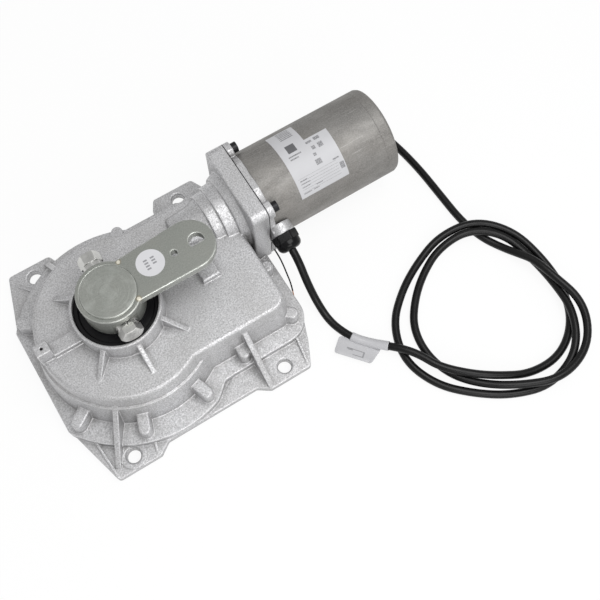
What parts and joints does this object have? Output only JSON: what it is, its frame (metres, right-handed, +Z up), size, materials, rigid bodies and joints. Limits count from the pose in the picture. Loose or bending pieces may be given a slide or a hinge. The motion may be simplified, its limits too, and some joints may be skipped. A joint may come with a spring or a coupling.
{
  "type": "underground gate opener",
  "caption": "Flat gear case with feet, a side-mounted motor and a crank lever on its upright output shaft, with a coiled supply lead.",
  "frame": {"origin": "centre of the pattern of four foot holes, at the underside of the feet", "axes": "+X along the motor towards its rear end, +Y away from the cable gland, +Z up along the output shaft"},
  "size_m": [0.4855, 0.3614, 0.121],
  "materials": {
    "cast_aluminium": "sand blasted casting, matte",
    "motor_steel": "satin zinc plated tube",
    "lever_steel": "greenish zinc plated, satin",
    "machined_steel": "turned and oiled",
    "bolt_steel": "zinc plated",
    "black_steel": "black oxide",
    "bronze": "machined bronze",
    "seal_rubber": "black nitrile rubber",
    "gland_plastic": "black nylon",
    "cable_sheath": "black sheath, slightly glossy",
    "white_print": "white film",
    "copper": "bare copper",
    "iron_core": "stacked sheet",
    "ferrite": "ground ferrite",
    "carbon": "pressed carbon",
    "holder_plastic": "phenolic board"
  },
  "bodies": {
    "case": {"gear_case": "cast_aluminium", "bottom_cover": "cast_aluminium", "case_gasket": "seal_rubber", "cover_screws": "bolt_steel", "shaft_seal": "seal_rubber", "upper_bush": "bronze", "lower_bush": "bronze", "second_shaft_bushes": "bronze", "first_shaft_bushes": "bronze", "worm_bush": "bronze", "bearing_outer_ring": "machined_steel", "flange_gasket": "seal_rubber", "motor_flange": "cast_aluminium", "flange_screws": "black_steel", "motor_tube": "motor_steel", "motor_rear_cap": "cast_aluminium", "magnets": "ferrite", "brush_holder": "holder_plastic", "brushes": "carbon", "rear_bush": "bronze", "motor_label": "white_print", "gland_body": "gland_plastic", "gland_nut": "gland_plastic", "cable_lead": "cable_sheath", "cable_tag": "white_print", "cable_coil": "cable_sheath", "cable_tail": "cable_sheath", "cable_cores": "copper", "earth_wire": "cable_sheath", "earth_wire_end": "copper"},
    "output": {"output_shaft": "machined_steel", "output_gear": "machined_steel", "output_key": "machined_steel", "output_circlip": "machined_steel", "lever_hub": "lever_steel", "lever_arm": "lever_steel", "clamp_bolt": "bolt_steel", "clamp_nut": "bolt_steel", "flat_washers": "bolt_steel", "spring_washer": "bolt_steel", "lever_sticker": "white_print"},
    "second_shaft": {"second_shaft": "machined_steel", "second_gear": "machined_steel", "second_key": "machined_steel"},
    "first_shaft": {"first_shaft": "machined_steel", "worm_wheel": "bronze", "first_key": "machined_steel"},
    "rotor": {"worm_shaft": "machined_steel", "bearing_inner_ring": "machined_steel", "bearing_balls": "machined_steel", "armature_core": "iron_core", "armature_windings": "copper", "commutator": "copper"}
  },
  "joints": [
    {"name": "output_spin", "type": "hinge", "parent": "case", "child": "output", "pos_m": [-0.0272, 0, 0], "axis": [0, 0, 1], "continuous": true},
    {"name": "second_spin", "type": "hinge", "parent": "case", "child": "second_shaft", "pos_m": [0.05954, -0.024, 0], "axis": [0, 0, 1], "continuous": true},
    {"name": "first_spin", "type": "hinge", "parent": "case", "child": "first_shaft", "pos_m": [0.07706, 0.01, 0], "axis": [0, 0, 1], "continuous": true},
    {"name": "rotor_spin", "type": "hinge", "parent": "case", "child": "rotor", "pos_m": [0, 0.0435, 0.055], "axis": [1, 0, 0], "continuous": true}
  ],
  "couplings": [
    {"joint": "second_spin", "follows": "output_spin", "ratio": -4},
    {"joint": "first_spin", "follows": "output_spin", "ratio": 13},
    {"joint": "rotor_spin", "follows": "output_spin", "ratio": 390}
  ]
}
